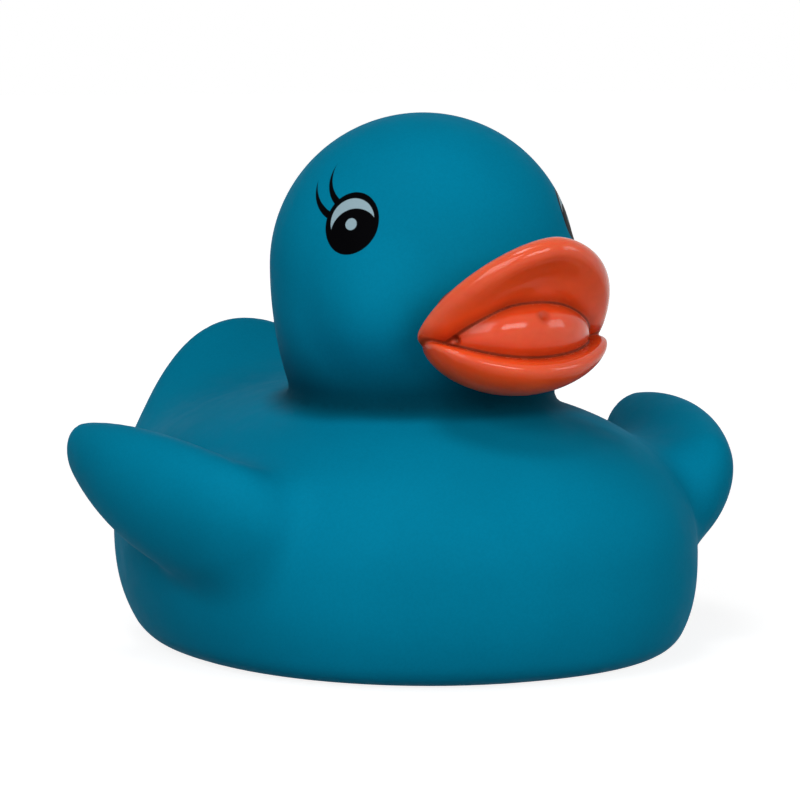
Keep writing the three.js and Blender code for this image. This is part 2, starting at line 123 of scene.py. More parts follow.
# Beak: places are (forward, up)
VISOR_HINGE = (HEAD_FRONT + 5.6, HEAD_Z - 9.7)
VISOR_TILT = 53.3
VISOR_HALF_WIDTH = 12.8
VISOR_LENGTH = 16.2
VISOR_FULLNESS = 1.8
VISOR_BEND = 1.95
VISOR_CUT_ABOVE_HINGE = 1.4
VISOR_CUT_BLEND = 2.0
RIM_RADIUS = 1.45
RIM_TAPER = 0.5
VISOR_SETBACK = 1.9
DISH_DEPTH = 1.5
DISH_START = 1.0
DISH_WIDTH = 6.5
BRIDGE_AT = (HEAD_FRONT - 2.0, HEAD_Z - 4.9)
BRIDGE_SIZE = (8.0, 12.2, 4.2)
BRIDGE_BLEND = 5.0
BOWL_AT = (HEAD_FRONT + 4.05, HEAD_Z - 5.0)
BOWL_SIZE = (13.05, 11.4, 9.65)
LIP_Z = HEAD_Z - 9.7
LIP_CORNER_RISE = 3.0
LIP_BLEND = 4.6
LIP_CORNER_SHARPNESS = 0.7
MUZZLE_AT = (HEAD_FRONT - 5.0, HEAD_Z - 7.9)
MUZZLE_SIZE = (9.0, 12.0, 4.4)
MUZZLE_FRONT = 4.0
MUZZLE_BLEND = 1.0
TONGUE_AT = (HEAD_FRONT + 3.4, HEAD_Z - 8.1)
TONGUE_TILT = 26.0
TONGUE_SIZE = (9.8, 7.6, 5.0)
LIP_CREASE_BLEND = 0.5
TONGUE_CREASE_BLEND = 0.35
# Pits in the tongue and the mouth's corners: sideways, forward, up, radius
PIT_BLEND = 0.4
# How steeply the painted shade in the pits falls off, and where it starts
PIT_SHADE_STEEPNESS = 2.0
PIT_SHADE_START = 0.24
PITS = ((0.0, 32.5, 43.6, 0.5), (9.2, 27.7, 40.6, 0.45))

# Squeaker hole: radius, bottom and top of each cutter
RECESS = (6.0, -2.0, 1.4)
BORE = (4.5, -1.0, 12.0)
BORE_SEGMENTS = 96

# Meshes: low and high corner of the box to search, X sideways and Y backwards, and the size of a facet
SKIN_BOX = ((-46, -41, 0), (46, 49, 67.2))
SKIN_FACET = 0.66
BEAK_BOX = ((-13.5, -44, 33), (13.5, -4, 56))
BEAK_FACET = 0.2
# Layers of the grid sampled at a time, and how points settle on the surface
SLAB = 16
SLOPE_STEP = 1e-3
SETTLE_STEPS = 5
STEEPNESS_FLOOR = 0.2


def ease(value, start, end):
    t = np.clip((value - start) / (end - start), 0, 1)
    return t * t * (3 - 2 * t)


def blend(a, b, width):
    """Joins two fields with a fillet."""
    overlap = np.maximum(width - np.abs(a - b), 0) / width
    return np.minimum(a, b) - overlap**2 * width / 4


def trim(a, b, width):
    """Keeps what is inside both fields, with a rounded edge."""
    return -blend(-a, -b, width)


def ellipsoid(x, y, z, size):
    rx, ry, rz = size
    reach = np.sqrt((x / rx) ** 2 + (y / ry) ** 2 + (z / rz) ** 2)
    slope = np.sqrt((x / rx**2) ** 2 + (y / ry**2) ** 2 + (z / rz**2) ** 2)
    return reach * (reach - 1) / np.maximum(slope, TINY)


def disc(x, y, rx, ry, fullness):
    """An oval; it is an ellipse at a fullness of 2 and nears a rectangle above that."""
    u = np.abs(x / rx) + TINY
    v = np.abs(y / ry) + TINY
    reach = (u**fullness + v**fullness) ** (1 / fullness)
    slope = reach ** (1 - fullness) * np.hypot(u ** (fullness - 1) / rx, v ** (fullness - 1) / ry)
    return (reach - 1) / np.maximum(slope, SLOPE_FLOOR)


def tilted(forward, z, at, tilt):
    """Distances along and across an axis that rises forwards from a place, by a tilt in degrees."""
    c, s = math.cos(math.radians(tilt)), math.sin(math.radians(tilt))
    df, dz = forward - at[0], z - at[1]
    return df * c + dz * s, dz * c - df * s


def tub(x, forward, z):
    """The body, which lifts towards the stern."""
    length = np.where(forward > 0, BODY_FRONT, BODY_BACK)
    astern = np.clip(-forward / BODY_BACK, 0, 1)
    height = z - BODY_WIDEST_Z - STERN_LIFT * astern**2
    rz = np.where(height > 0, BODY_RISE, BODY_DROP)
    full = np.where(height > 0, BODY_TOP_FULLNESS, BODY_BILGE_FULLNESS)
    p = BODY_PLAN_FULLNESS
    u = np.abs(x / BODY_HALF_WIDTH) + TINY
    v = np.abs(forward / length) + TINY
    w = np.abs(height / rz) + TINY
    plan = (u**p + v**p) ** (1 / p)
    reach = (plan**full + w**full) ** (1 / full)
    across = plan ** (1 - p) * np.hypot(u ** (p - 1) / BODY_HALF_WIDTH, v ** (p - 1) / length)
    slope = reach ** (1 - full) * np.hypot(plan ** (full - 1) * across, w ** (full - 1) / rz)
    return (reach - 1) / np.maximum(slope, SLOPE_FLOOR)


def tail(x, forward, z):
    along, across = tilted(-forward, z, TAIL_TIP, TAIL_TILT)
    core = [size - TAIL_EDGE_RADIUS for size in TAIL_SIZE]
    blade = ellipsoid(x, along + TAIL_SIZE[1], across, core) - TAIL_EDGE_RADIUS
    return trim(blade, TAIL_FOOT_Z - z, TAIL_FOOT_BLEND)


WING_LENGTH = np.linalg.norm(WING_TIP - WING_ROOT)
WING_ALONG = (WING_TIP - WING_ROOT) / WING_LENGTH
WING_OUT = np.array([1.0, 0.0, WING_LEAN])
WING_OUT = WING_OUT - WING_ALONG * (WING_OUT @ WING_ALONG)
WING_OUT = WING_OUT / np.linalg.norm(WING_OUT)
WING_UP = np.cross(WING_ALONG, WING_OUT)


def wing(x, forward, z):
    """A flattened row of balls from root to tip, bowed in the middle."""
    from_root = (x - WING_ROOT[0], forward - WING_ROOT[1], z - WING_ROOT[2])
    along, out, up = (sum(d * a for d, a in zip(from_root, axis)) for axis in (WING_ALONG, WING_OUT, WING_UP))
    bowed = np.clip(along / WING_LENGTH, *WING_BOW_SPAN)
    out = out + WING_BOW * 4 * bowed * (1 - bowed)
    around, spread = np.hypot(out / WING_FLATNESS, up), np.hypot(out / WING_FLATNESS**2, up)
    root, middle, tip = WING_RADII
    share = np.clip(along / WING_LENGTH, 0, 1)
    for _ in range(WING_SHARE_STEPS):
        growth = 2 * ((middle - root) * (1 - share) + (tip - middle) * share)
        leaning = growth * np.hypot(along - share * WING_LENGTH, around) / WING_LENGTH
        share = np.clip((along + leaning) / WING_LENGTH, 0, 1)
    past = along - share * WING_LENGTH
    radius = root * (1 - share) ** 2 + 2 * middle * share * (1 - share) + tip * share**2
    reach = np.hypot(past, around)
    return reach * (reach - radius) / np.maximum(np.hypot(past, spread), TINY)


def head(x, forward, z):
    ahead, height = forward - HEAD_FORWARD, z - HEAD_Z
    reach = np.where(height > 0, HEAD_RISE, HEAD_DROP)
    skull = ellipsoid(x, ahead, height, (HEAD_HALF_WIDTH, HEAD_HALF_DEPTH, reach))
    sizes = (HEAD_HALF_WIDTH, HEAD_HALF_DEPTH, HEAD_RISE)
    cx, cf, cz = (share * size for share, size in zip(CHEEK_ON_HEAD, sizes))
    cheek = np.sqrt((x - cx) ** 2 + (ahead - cf) ** 2 + (height - cz) ** 2) - CHEEK_RADIUS
    return blend(skull, cheek, CHEEK_BLEND)


def duck(x, forward, z):
    skin = trim(blend(tub(x, forward, z), tail(x, forward, z), TAIL_BLEND), -z, BASE_EDGE_BLEND)
    wing_blend = WING_BLEND + (WING_TOP_BLEND - WING_BLEND) * ease(z, *WING_BLEND_WIDENS)
    return blend(blend(skin, wing(x, forward, z), wing_blend), head(x, forward, z), NECK_BLEND)


def upper_bill(x, forward, z):
    along, level = tilted(forward, z, VISOR_HINGE, VISOR_TILT)
    sideways = np.minimum(x / VISOR_HALF_WIDTH, 1)
    behind = level - VISOR_BEND * sideways**3
    edge = disc(x, along, VISOR_HALF_WIDTH, VISOR_LENGTH, VISOR_FULLNESS)
    rim_radius = RIM_RADIUS * (1 - RIM_TAPER * sideways**4)
    sheet = behind - VISOR_SETBACK - DISH_DEPTH * ease(-edge, DISH_START, DISH_START + DISH_WIDTH)
    visor = np.hypot(np.maximum(edge + rim_radius, 0), sheet) - rim_radius
    bridge = ellipsoid(x, forward - BRIDGE_AT[0], z - BRIDGE_AT[1], BRIDGE_SIZE)
    joined = blend(visor, trim(bridge, -sheet, MUZZLE_BLEND), BRIDGE_BLEND)
    cut = trim(joined, VISOR_HINGE[1] + VISOR_CUT_ABOVE_HINGE - z, VISOR_CUT_BLEND)
    lump = ellipsoid(x, forward - MUZZLE_AT[0], z - MUZZLE_AT[1], MUZZLE_SIZE)
    return blend(cut, trim(lump, forward - HEAD_FRONT - MUZZLE_FRONT, MUZZLE_BLEND), MUZZLE_BLEND)


def lower_bill(x, forward, z):
    bowl = ellipsoid(x, forward - BOWL_AT[0], z - BOWL_AT[1], BOWL_SIZE)
    sideways = np.minimum(x / BOWL_SIZE[0], 1)
    lip = LIP_Z + LIP_CORNER_RISE * sideways**2
    return trim(bowl, z - lip, LIP_BLEND * (1 - LIP_CORNER_SHARPNESS * sideways**4))


def tongue(x, forward, z):
    along, across = tilted(forward, z, TONGUE_AT, TONGUE_TILT)
    return ellipsoid(x, along, across, TONGUE_SIZE)


def pits(x, forward, z):
    return np.min([
        np.sqrt((x - px) ** 2 + (forward - pf) ** 2 + (z - pz) ** 2) - radius
        for px, pf, pz, radius in PITS
    ], axis=0)


def beak(x, forward, z):
    at = (x, forward, z)
    mouth = blend(blend(upper_bill(*at), lower_bill(*at), LIP_CREASE_BLEND), tongue(*at), TONGUE_CREASE_BLEND)
    return trim(mouth, -pits(*at), PIT_BLEND)


# Dual contouring. A cell's edge 4 * axis + b + 2 * c runs along its axis, at offsets b and c on the next two.
ROUND = ((0, 0), (1, 0), (1, 1), (0, 1))


def offsets(axis, along, b, c):
    offset = [0, 0, 0]
    offset[axis], offset[(axis + 1) % 3], offset[(axis + 2) % 3] = along, b, c
    return tuple(offset)


def edge_number(start, end):
    axis = next(n for n in range(3) if start[n] != end[n])
    return 4 * axis + start[(axis + 1) % 3] + 2 * start[(axis + 2) % 3]


def loops_of(pattern):
    """For each of a cell's 12 edges, the number of the surface loop that crosses it, or -1."""
    def inside(corner):
        return pattern >> (corner[0] + 2 * corner[1] + 4 * corner[2]) & 1
    linked = {}
    for axis in range(3):
        for side in (0, 1):
            face = [offsets(axis, side, b, c) for b, c in ROUND]
            for n in range(4):
                if inside(face[n]) and not inside(face[n - 1]):
                    last = n
                    while inside(face[(last + 1) % 4]):
                        last += 1
                    enters = edge_number(face[n - 1], face[n])
                    leaves = edge_number(face[last % 4], face[(last + 1) % 4])
                    linked.setdefault(enters, []).append(leaves)
                    linked.setdefault(leaves, []).append(enters)
    loop_at = [-1] * 12
    loops = 0
    for first in linked:
        if loop_at[first] < 0:
            waiting = [first]
            while waiting:
                edge = waiting.pop()
                if loop_at[edge] < 0:
                    loop_at[edge] = loops
                    waiting += linked[edge]
            loops += 1
    return loop_at, loops


TABLE = [loops_of(pattern) for pattern in range(256)]
LOOP_AT = np.array([row[0] for row in TABLE])
LOOPS = np.array([row[1] for row in TABLE])


def slopes(field, points):
    along = []
    for axis in range(3):
        shift = np.zeros(3)
        shift[axis] = SLOPE_STEP
        along.append((field(*(points + shift).T) - field(*(points - shift).T)) / (2 * SLOPE_STEP))
    return np.stack(along, 1)


def settle(field, points, reach):
    """Slides points down the field's slope onto the surface, no further than reach."""
    start = points.copy()
    for _ in range(SETTLE_STEPS):
        slope = slopes(field, points)
        steep = np.maximum((slope**2).sum(1), STEEPNESS_FLOOR)
        points = points - slope * (field(*points.T) / steep)[:, None]
        moved = points - start
        far = np.linalg.norm(moved, axis=1)
        points = start + moved * np.minimum(1, reach / np.maximum(far, TINY))[:, None]
    return points


def mirrored(x, y, z):
    """A point's distances sideways, forwards and up."""
    return np.abs(x), -y, z


def polygonise(form, low, high, facet):
    """Vertices and four-sided faces of a form, in millimetres."""
    def field(x, y, z):
        return form(*mirrored(x, y, z))
    low, high = np.array(low, float) - 2 * facet, np.array(high, float) + 2 * facet
    counts = np.ceil((high - low) / facet).astype(int) + 1
    axes = [low[n] + facet * np.arange(counts[n]) for n in range(3)]
    values = np.concatenate([
        field(*np.meshgrid(axes[0][n:n + SLAB], axes[1], axes[2], indexing="ij"))
        for n in range(0, counts[0], SLAB)
    ])
    inside = values < 0
    corners = [(n & 1, n >> 1 & 1, n >> 2) for n in range(8)]
    sizes = counts - 1
    pattern = np.zeros(sizes, int)
    for n, (i, j, k) in enumerate(corners):
        pattern |= inside[i:i + sizes[0], j:j + sizes[1], k:k + sizes[2]].astype(int) << n
    loops = LOOPS[pattern]
    first = (np.cumsum(loops) - loops.ravel()).reshape(sizes)
    total = int(loops.sum())

    cells = np.argwhere(loops > 0)
    kinds = pattern[tuple(cells.T)]
    sums, crossings = np.zeros((total, 3)), np.zeros(total)
    for axis in range(3):
        for b, c in ROUND:
            row = LOOP_AT[kinds, 4 * axis + b + 2 * c]
            here = cells[row >= 0]
            start, end = (here + offsets(axis, along, b, c) for along in (0, 1))
            a, z = values[tuple(start.T)], values[tuple(end.T)]
            points = low + facet * (start + (a / (a - z))[:, None] * (end - start))
            vertex = first[tuple(here.T)] + row[row >= 0]
            np.add.at(sums, vertex, points)
            np.add.at(crossings, vertex, 1)
    vertices = settle(field, sums / crossings[:, None], facet / 2)

    faces = []
    for axis in range(3):
        step = np.array(offsets(axis, 1, 0, 0))
        inner = tuple(slice(1, size) for size in sizes)
        here = inside[inner]
        beyond = inside[tuple(slice(1 + step[n], sizes[n] + step[n]) for n in range(3))]
        points = np.argwhere(here != beyond) + 1
        outward = inside[tuple(points.T)]
        quad = []
        for b, c in ROUND:
            cell = tuple((points - offsets(axis, 0, b, c)).T)
            quad.append(first[cell] + LOOP_AT[pattern[cell], 4 * axis + b + 2 * c])
        quad = np.stack(quad, 1)
        faces.append(np.where(outward[:, None], quad, quad[:, ::-1]))
    return largest_shell(vertices, np.concatenate(faces))


def largest_shell(vertices, faces):
    """Drops all but the shell with the most vertices."""
    label = np.arange(len(vertices))
    while True:
        lowest = label[faces].min(1)
        nearest = label.copy()
        np.minimum.at(nearest, faces.ravel(), np.repeat(lowest, 4))
        nearest = nearest[nearest]
        if (nearest == label).all():
            break
        label = nearest
    names, sizes = np.unique(label, return_counts=True)
    kept = label == names[sizes.argmax()]
    number = np.cumsum(kept) - 1
    return vertices[kept], number[faces[kept[faces[:, 0]]]]


def mesh_object(name, vertices, faces):
    """Vertices in millimetres from the squeaker's axis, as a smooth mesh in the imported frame."""
    mesh = bpy.data.meshes.new(name)
    mesh.vertices.add(len(vertices))
    mesh.vertices.foreach_set("co", (vertices * MM + (0, ORIGIN_Y, 0)).astype(np.float32).ravel())
    mesh.loops.add(faces.size)
    mesh.loops.foreach_set("vertex_index", faces.astype(np.int32).ravel())
    mesh.polygons.add(len(faces))
    mesh.polygons.foreach_set("loop_start", np.arange(0, faces.size, 4, dtype=np.int32))
    mesh.update(calc_edges=True)
    mesh.validate()
    mesh.shade_smooth()
    obj = bpy.data.objects.new(name, mesh)
    bpy.context.scene.collection.objects.link(obj)
    return obj


def store(obj, name, values):
    """Keeps one number at each vertex, for the materials to read."""
    attribute = obj.data.attributes.new(name, "FLOAT", "POINT")
    attribute.data.foreach_set("value", values.astype(np.float32))


def cylinder(name, radius, low, high):
    turn = np.linspace(0, 2 * math.pi, BORE_SEGMENTS, endpoint=False)
    ring = np.stack([radius * np.cos(turn), radius * np.sin(turn)], 1)
    points = [(x, y, z) for z in (low, high) for x, y in ring]
    lower = list(range(BORE_SEGMENTS))
    after = lower[1:] + lower[:1]
    sides = [(a, b, BORE_SEGMENTS + b, BORE_SEGMENTS + a) for a, b in zip(lower, after)]
    caps = [lower[::-1], [BORE_SEGMENTS + n for n in lower]]
    mesh = bpy.data.meshes.new(name)
    mesh.from_pydata([(x * MM, y * MM + ORIGIN_Y, z * MM) for x, y, z in points], [], sides + caps)
    obj = bpy.data.objects.new(name, mesh)
    bpy.context.scene.collection.objects.link(obj)
    return obj


def cut(obj, *cutters):
    """Cuts solids out of a mesh, then removes them."""
    for cutter in cutters:
        modifier = obj.modifiers.new("cut", "BOOLEAN")
        modifier.operation, modifier.solver, modifier.object = "DIFFERENCE", "EXACT", cutter
    shape = bpy.data.meshes.new_from_object(obj.evaluated_get(bpy.context.evaluated_depsgraph_get()))
    obj.modifiers.clear()
    obj.data = shape
    for cutter in cutters:
        bpy.data.objects.remove(cutter)


class Graph:
    """Builds the nodes of a material or a world."""

    def __init__(self, owner, output="ShaderNodeOutputMaterial"):
        owner.use_nodes = True
        self.owner = owner
        self.nodes = owner.node_tree.nodes
        self.links = owner.node_tree.links
        self.nodes.clear()
        self.output = self.node(output)

    def node(self, kind, inputs=None, **settings):
        node = self.nodes.new(kind)
        for key, value in settings.items():
            setattr(node, key, value)
        for key, value in (inputs or {}).items():
            self.feed(node.inputs[key], value)
        return node

    def feed(self, socket, value):
        if isinstance(value, bpy.types.NodeSocket):
            self.links.new(value, socket)
        else:
            socket.default_value = value

    def math(self, operation, *values):
        return self.node("ShaderNodeMath", dict(enumerate(values)), operation=operation).outputs[0]

    def vector(self, operation, *values):
        node = self.node("ShaderNodeVectorMath", dict(enumerate(values)), operation=operation)
        return node.outputs["Value" if operation in ("DOT_PRODUCT", "LENGTH", "DISTANCE") else "Vector"]

    def combine(self, *values):
        return self.node("ShaderNodeCombineXYZ", dict(enumerate(values))).outputs[0]

    def separate(self, vector):
        return self.node("ShaderNodeSeparateXYZ", {0: vector}).outputs

    def ramp(self, value, start, end, low=0.0, high=1.0):
        """Runs smoothly from low to high as the value goes from start to end."""
        inputs = {"Value": value, "From Min": start, "From Max": end, "To Min": low, "To Max": high}
        return self.node("ShaderNodeMapRange", inputs, interpolation_type="SMOOTHSTEP").outputs["Result"]

    def mix(self, share, a, b):
        return self.node("ShaderNodeMix", {0: share, 6: a, 7: b}, data_type="RGBA").outputs[2]

    def tint(self, colour, shade):
        """A colour made lighter or darker by a shade that varies over the surface."""
        return self.vector("MULTIPLY", colour[:3], self.combine(shade, shade, shade))

    def noise(self, place, per_mm, detail):
        inputs = {"Vector": place, "Scale": per_mm / MM, "Detail": detail}
        return self.node("ShaderNodeTexNoise", inputs).outputs[0]

    def spread(self, noise, low, high):
        return self.ramp(noise, *NOISE_SPAN, low, high)

    def bump(self, height, strength, depth_mm):
        inputs = {"Height": height, "Strength": strength, "Distance": depth_mm * MM}
        return self.node("ShaderNodeBump", inputs).outputs[0]

    def place(self):
        return self.node("ShaderNodeTexCoord").outputs["Object"]

    def attribute(self, name):
        return self.node("ShaderNodeAttribute", attribute_name=name).outputs["Fac"]

    def show(self, shader):
        self.links.new(shader.outputs[0], self.output.inputs["Surface"])
        return self.owner

    def surface(self, **inputs):
        inputs = {key.replace("_", " "): value for key, value in inputs.items()}
        return self.show(self.node("ShaderNodeBsdfPrincipled", inputs))


def material_graph(name):
    return Graph(bpy.data.materials.new(name))


# Eye print: (u, v) in millimetres on the plane that touches the head at the eye, u towards the beak
EYE_AT = (15.22, -13.50, 54.14)
EYE_U = (-0.583, -0.812, 0.0)
EYE_V = (-0.257, 0.185, 0.949)
EYE_OUT = (0.770, -0.553, 0.317)
# Middle u and v, the two radii, and the turn in radians
EYE_DISC = (-0.25, -0.12, 3.51, 3.96, -0.08)
# Circles as u, v and radius. The crescent and each lash lie inside the first and outside the second
CRESCENT_OUTER = (-0.21, 0.16, 2.86)
CRESCENT_INNER = (0.27, -1.49, 3.20)
PUPIL_DOT = (-0.22, -0.28, 0.74)
LASHES = (
    ((0.74, 6.21, 5.38), (0.91, 7.14, 5.33)),
    ((-0.59, 5.54, 5.93), (-0.39, 6.81, 6.22)),
)
LASH_END_U = -0.2
PRINT_EDGE = 0.05
# How far behind the plane the print fades out, and is whole
PRINT_DEPTH = (-5.0, -4.8)


def eye_masks(graph):
    """Shares of black and of white ink, alike on both sides of the head."""
    x, y, z = graph.separate(graph.place())
    folded = graph.combine(graph.math("ABSOLUTE", x), y, z)
    centre = (EYE_AT[0] * MM, EYE_AT[1] * MM + ORIGIN_Y, EYE_AT[2] * MM)
    apart = graph.vector("SUBTRACT", folded, centre)
    u, v, out = (
        graph.math("DIVIDE", graph.vector("DOT_PRODUCT", apart, axis), MM)
        for axis in (EYE_U, EYE_V, EYE_OUT)
    )
    place = graph.combine(u, v)

    def within(distance):
        return graph.ramp(distance, PRINT_EDGE, -PRINT_EDGE)

    def disc_of(cx, cy, radius):
        return within(graph.math("SUBTRACT", graph.vector("DISTANCE", place, (cx, cy, 0)), radius))

    def both(a, b):
        return graph.math("MINIMUM", a, b)

    def crescent(outer, inner):
        return both(disc_of(*outer), graph.math("SUBTRACT", 1.0, disc_of(*inner)))

    cx, cy, rx, ry, turn = EYE_DISC
    du, dv = graph.math("SUBTRACT", u, cx), graph.math("SUBTRACT", v, cy)
    c, s = math.cos(turn), math.sin(turn)
    along = graph.math("MULTIPLY_ADD", du, c / rx, graph.math("MULTIPLY", dv, s / rx))
    across = graph.math("MULTIPLY_ADD", dv, c / ry, graph.math("MULTIPLY", du, -s / ry))
    reach = graph.vector("LENGTH", graph.combine(along, across))
    black = within(graph.math("MULTIPLY", graph.math("SUBTRACT", reach, 1.0), rx))
    for circles in LASHES:
        lash = both(crescent(*circles), within(graph.math("SUBTRACT", u, LASH_END_U)))
        black = graph.math("MAXIMUM", black, lash)
    white = graph.math("MAXIMUM", crescent(CRESCENT_OUTER, CRESCENT_INNER), disc_of(*PUPIL_DOT))
    on_face = graph.ramp(out, *PRINT_DEPTH)
    return both(black, on_face), both(white, on_face)


BLUE = (0.0006, 0.222, 0.372, 1)
INK_BLACK = (0.0015, 0.0015, 0.002, 1)
INK_WHITE = (0.33, 0.47, 0.53, 1)
ORANGE = (0.98, 0.098, 0.017, 1)
# Dark red-brown of the beak's painted shade in creases and pits, and of its thin paint where it meets the head
CREASE_SHADE_COLOUR = (0.085, 0.010, 0.006, 1)
SQUEAKER_TONES = ((0.74, 0.70, 0.60, 1), (0.82, 0.78, 0.68, 1))

# Materials: noise scales are per millimetre, and a shade runs from its first to its last value over this span
NOISE_SPAN = (0.3, 0.7)

VINYL_CLOUDS = 0.05
VINYL_CLOUD_SHADES = (0.96, 1.04)
VINYL_GRAIN = 3.0
VINYL_GRAIN_SHADES = (-0.03, 0.03)
VINYL_SATIN = 0.4
VINYL_ROUGHNESS = (0.50, 0.58)
VINYL_SPECULAR = 0.006
INK_SMOOTHER = 0.15

# Painted shade round the neck, where the head overhangs the body, in millimetres from the fold. It reaches less far
# on the body than on the head
NECK_SHADE_WIDTH = 12.0
NECK_SHADE_BODY_STEEPNESS = 2.5
NECK_SHADE_WANDER = 0.4
NECK_SHADE_DARKEST = 0.22

PAINT_CLOUDS = 0.25
PAINT_SHADES = (0.94, 1.05)
PAINT_PATCHES = 0.8
PAINT_ROUGHNESS = (0.09, 0.15)
PAINT_LUMPS = 1.2
# Painted shade darkens the paint: a line in the creases, a wider band in the hollows and pits, and a band where the
# beak meets the head, which is partly thin paint at its edge and partly painted shade in that crease
# Each as the distance it is read from, where it starts and ends, and its share at the start
CREASE_SHADE_BANDS = (
    ("crease", 0.08, 0.5, 0.85),
    ("crease", 0.0, 2.0, 0.4),
    ("from_head", 0.0, 1.4, 0.8),
)
# The paint is rougher under the painted shade
CREASE_SHADE_ROUGHER = 0.4
# The normal's Z over which gloss rises, and its two levels
PAINT_GLOSS = (-0.7, -0.1, 0.05, 0.38)
PAINT_SUBSURFACE = 0.6
PAINT_SUBSURFACE_RADIUS = (1.0, 0.25, 0.12)
PAINT_SUBSURFACE_MM = 4.0

SQUEAKER_CLOUDS = 0.5
SQUEAKER_SATIN = 2.0
SQUEAKER_ROUGHNESS = (0.38, 0.5)
SQUEAKER_GRAIN = 4.0


def vinyl():
    graph = material_graph("blue_vinyl")
    place = graph.place()
    cloudy = graph.noise(place, VINYL_CLOUDS, 3)
    grain = graph.noise(place, VINYL_GRAIN, 2)
    shade = graph.math("ADD", graph.spread(cloudy, *VINYL_CLOUD_SHADES), graph.spread(grain, *VINYL_GRAIN_SHADES))
    # Painted shade: the vinyl darkens towards the neck's fold
    wander = graph.spread(cloudy, -NECK_SHADE_WANDER, NECK_SHADE_WANDER)
    apart = graph.math("ADD", graph.attribute("neck_fold"), wander)
    neck_shade = graph.ramp(apart, 0.0, NECK_SHADE_WIDTH, NECK_SHADE_DARKEST, 1.0)
    blue = graph.tint(BLUE, graph.math("MULTIPLY", shade, neck_shade))
    black, white = eye_masks(graph)
    colour = graph.mix(white, graph.mix(black, blue, INK_BLACK), INK_WHITE)
    satin = graph.spread(graph.noise(place, VINYL_SATIN, 3), *VINYL_ROUGHNESS)
    return graph.surface(
        Base_Color=colour,
        Roughness=graph.math("SUBTRACT", satin, graph.math("MULTIPLY", black, INK_SMOOTHER)),
        Specular_IOR_Level=VINYL_SPECULAR,
        Normal=graph.bump(grain, 0.15, 0.02),
    )


def orange_paint():
    graph = material_graph("orange_paint")
    place = graph.place()
    fresh = graph.tint(ORANGE, graph.spread(graph.noise(place, PAINT_CLOUDS, 3), *PAINT_SHADES))
    line, hollow, border = (
        graph.ramp(graph.attribute(name), start, end, share, 0.0)
        for name, start, end, share in CREASE_SHADE_BANDS
    )
    # Painted shade in the creases, pits and along the border with the head
    crease_shade = graph.math("MAXIMUM", graph.math("MAXIMUM", line, hollow), border)
    unshaded = graph.math("SUBTRACT", 1.0, crease_shade)
    smooth = graph.spread(graph.noise(place, PAINT_PATCHES, 3), *PAINT_ROUGHNESS)
    facing_up = graph.separate(graph.node("ShaderNodeNewGeometry").outputs["Normal"])[2]
    return graph.surface(
        Base_Color=graph.mix(crease_shade, fresh, CREASE_SHADE_COLOUR),
        Roughness=graph.math("ADD", smooth, graph.math("MULTIPLY", crease_shade, CREASE_SHADE_ROUGHER)),
        Specular_IOR_Level=graph.math("MULTIPLY", unshaded, graph.ramp(facing_up, *PAINT_GLOSS)),
        Subsurface_Weight=PAINT_SUBSURFACE,
        Subsurface_Radius=PAINT_SUBSURFACE_RADIUS,
        Subsurface_Scale=PAINT_SUBSURFACE_MM * MM,
        Normal=graph.bump(graph.noise(place, PAINT_LUMPS, 3), 0.1, 0.04),
    )


def squeaker_plastic():
    graph = material_graph("squeaker_plastic")
    place = graph.place()
    tone = graph.spread(graph.noise(place, SQUEAKER_CLOUDS, 3), 0.0, 1.0)
    return graph.surface(
        Base_Color=graph.mix(tone, *SQUEAKER_TONES),
        Roughness=graph.spread(graph.noise(place, SQUEAKER_SATIN, 2), *SQUEAKER_ROUGHNESS),
        Normal=graph.bump(graph.noise(place, SQUEAKER_GRAIN, 2), 0.1, 0.03),
    )


skin = mesh_object("vinyl_skin", *polygonise(duck, *SKIN_BOX, SKIN_FACET))
cut(skin, cylinder("recess", *RECESS), cylinder("bore", *BORE))
points = np.empty(len(skin.data.vertices) * 3, np.float32)
skin.data.vertices.foreach_get("co", points)
at = mirrored(*(points.reshape(-1, 3) / MM - (0, ORIGIN_Y / MM, 0)).T)
# Distance from the neck's fold, read by the vinyl's painted shade round the neck
from_tub, from_skull = np.abs(tub(*at)), np.abs(head(*at))
store(skin, "neck_fold", np.where(from_skull < from_tub, from_tub, NECK_SHADE_BODY_STEEPNESS * from_skull))
skin.data.materials.append(vinyl())
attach(skin, "root")
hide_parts("duck_body")

beak_vertices, beak_faces = polygonise(beak, *BEAK_BOX, BEAK_FACET)
bill = mesh_object("beak", beak_vertices, beak_faces)
at = mirrored(*beak_vertices.T)
# Distance to the nearest crease or pit, read by the paint's painted shade
crease = np.sort([form(*at) for form in (upper_bill, lower_bill, tongue)], axis=0)[1]
store(bill, "crease", np.minimum(crease, PIT_SHADE_START + PIT_SHADE_STEEPNESS * pits(*at)))
store(bill, "from_head", duck(*at))
bill.data.materials.append(orange_paint())
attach(bill, "root")
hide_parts("duck_body")

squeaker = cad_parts["whistle"]
squeaker.data.materials.clear()
squeaker.data.materials.append(squeaker_plastic())

# Floor and backdrop: white where the camera, gloss and glass see them. The floor, in metres, keeps the duck's shadow
FLOOR_SIZE = 6.0
FLOOR_Z = -0.05 * MM
FLOOR_GREY = (0.4, 0.4, 0.4, 1)
# Distances from the middle over which the floor's white rises, and its two levels
FLOOR_GLOW = (0.1, 0.5, 0.86, 1.0)
WHITE = (1, 1, 1, 1)
AMBIENT_COLOUR = (0.95, 0.98, 1.0, 1)
AMBIENT_STRENGTH = 0.06


def seen_directly(graph):
    path = graph.node("ShaderNodeLightPath")
    seen = graph.math("MAXIMUM", path.outputs["Is Camera Ray"], path.outputs["Is Glossy Ray"])
    return graph.math("MAXIMUM", seen, path.outputs["Is Transmission Ray"])


